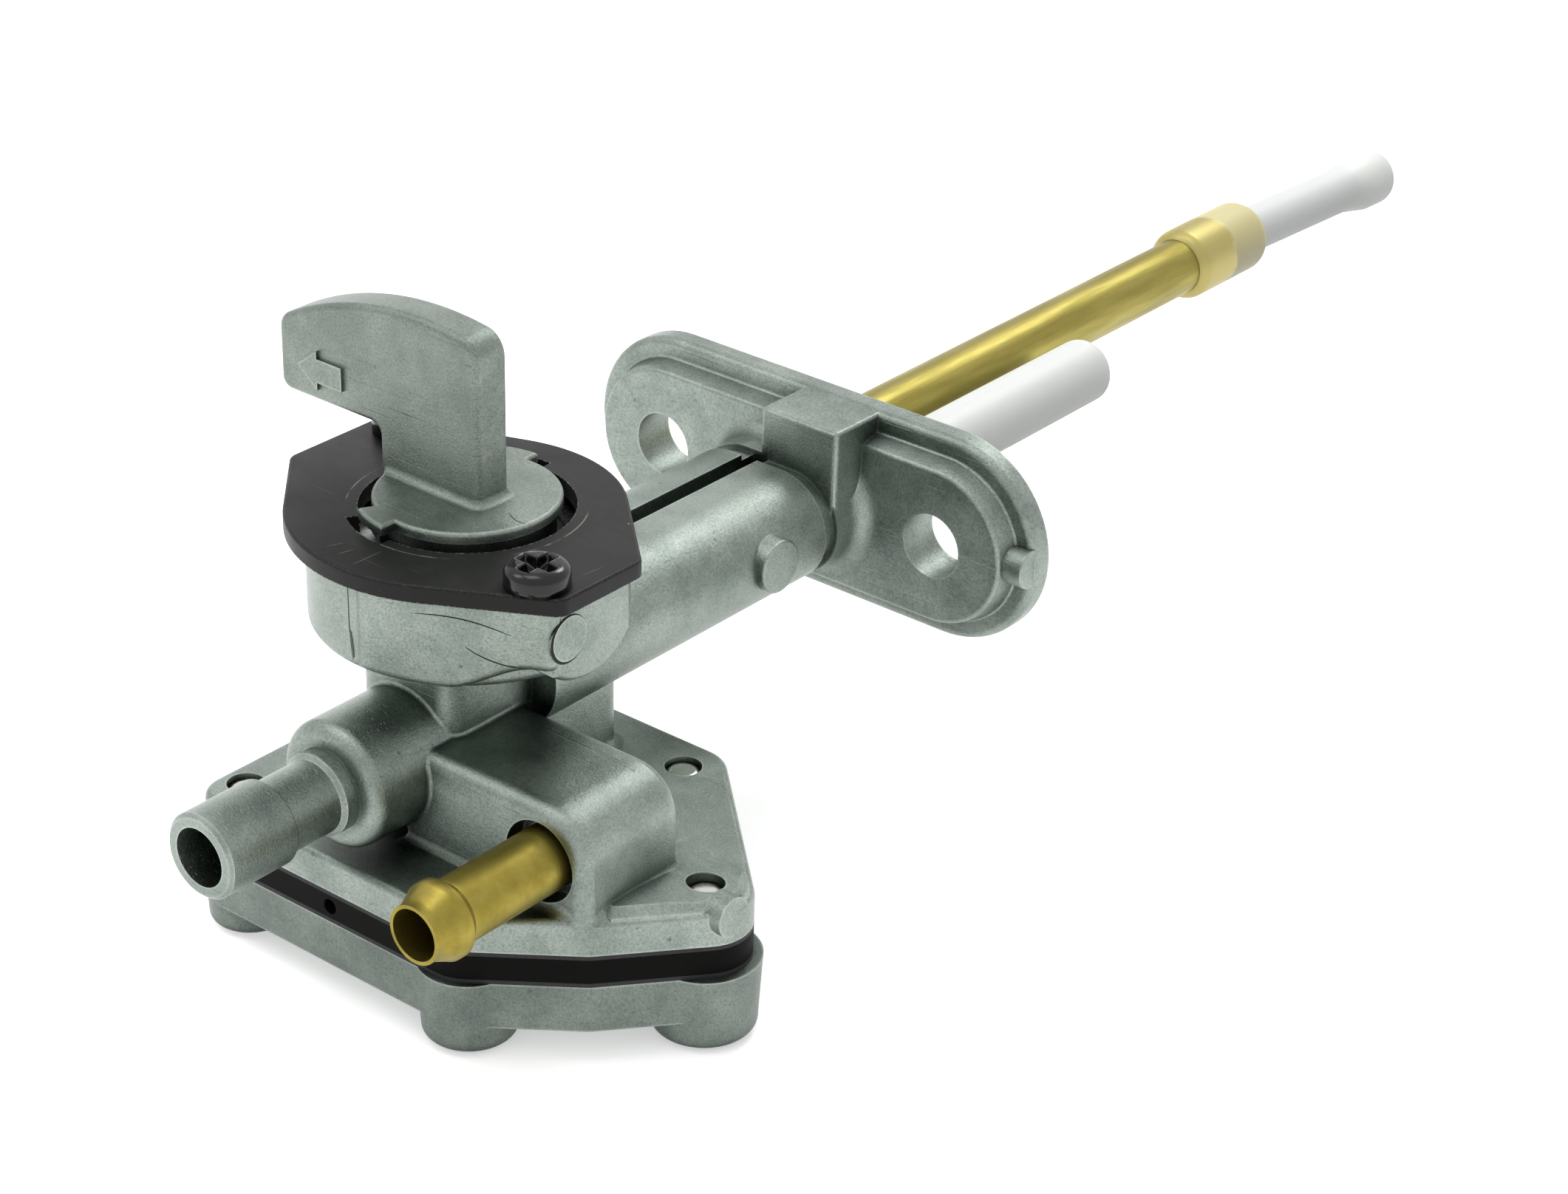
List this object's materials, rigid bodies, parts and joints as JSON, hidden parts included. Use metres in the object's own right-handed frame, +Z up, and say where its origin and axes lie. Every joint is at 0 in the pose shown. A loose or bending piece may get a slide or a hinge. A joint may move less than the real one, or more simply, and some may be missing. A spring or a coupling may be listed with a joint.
{
  "type": "vacuum fuel tap",
  "caption": "Die-cast vacuum-operated fuel tap with a turning lever, an oval tank flange, a tall standpipe with strainers, a fuel outlet and a brass vacuum nipple.",
  "frame": {"origin": "centre of the two flange holes, on the face that seals against the tank", "axes": "+Y out of the flange into the tank along the standpipe, +Z up along the lever's axis from the diaphragm cover to the lever, +X towards the vacuum nipple's side"},
  "size_m": [0.0606, 0.1983, 0.0592],
  "materials": {
    "cast_alloy": "as cast, satin, faint grey-green",
    "lever_alloy": "as cast, satin",
    "cover_alloy": "as cast, satin, filed seam",
    "black_steel": "black, semi-gloss",
    "brass": "drawn tube, bright with light tarnish",
    "nylon": "milky, translucent",
    "rubber": "matte black",
    "diaphragm_rubber": "matte black, fabric reinforced",
    "black_resin": "moulded, satin black",
    "spring_steel": "bright",
    "plated_steel": "zinc plated"
  },
  "bodies": {
    "housing": {"valve_body": "cast_alloy", "retainer_plate": "black_steel", "retainer_screws": "black_steel", "wave_washer": "spring_steel", "valve_gasket": "rubber", "standpipe": "brass", "main_strainer": "nylon", "reserve_strainer": "nylon", "flange_o_ring": "rubber", "vacuum_nipple": "brass", "fuel_diaphragm": "diaphragm_rubber", "diaphragm_spacer": "black_resin", "vacuum_diaphragm": "diaphragm_rubber", "diaphragm_spring": "spring_steel", "diaphragm_cover": "cover_alloy", "cover_screws": "plated_steel"},
    "lever": {"lever": "lever_alloy", "lever_o_ring": "rubber"},
    "plunger": {"plunger": "brass", "plunger_o_ring": "rubber", "fuel_side_plate": "spring_steel", "diaphragm_collar": "black_resin", "spring_cup": "spring_steel", "stem_clip": "spring_steel"}
  },
  "joints": [
    {"name": "lever_turn", "type": "hinge", "parent": "housing", "child": "lever", "pos_m": [0, -0.0506, 0.0159], "axis": [0, 0, 1], "range_deg": [-90, 90]},
    {"name": "plunger_lift", "type": "slide", "parent": "housing", "child": "plunger", "axis": [0, 0, -1], "range_m": [0, 0.0015], "stiffness_N_per_m": 300, "springref_m": -0.003, "deforming": ["diaphragm_spring", "fuel_diaphragm", "vacuum_diaphragm"]}
  ]
}
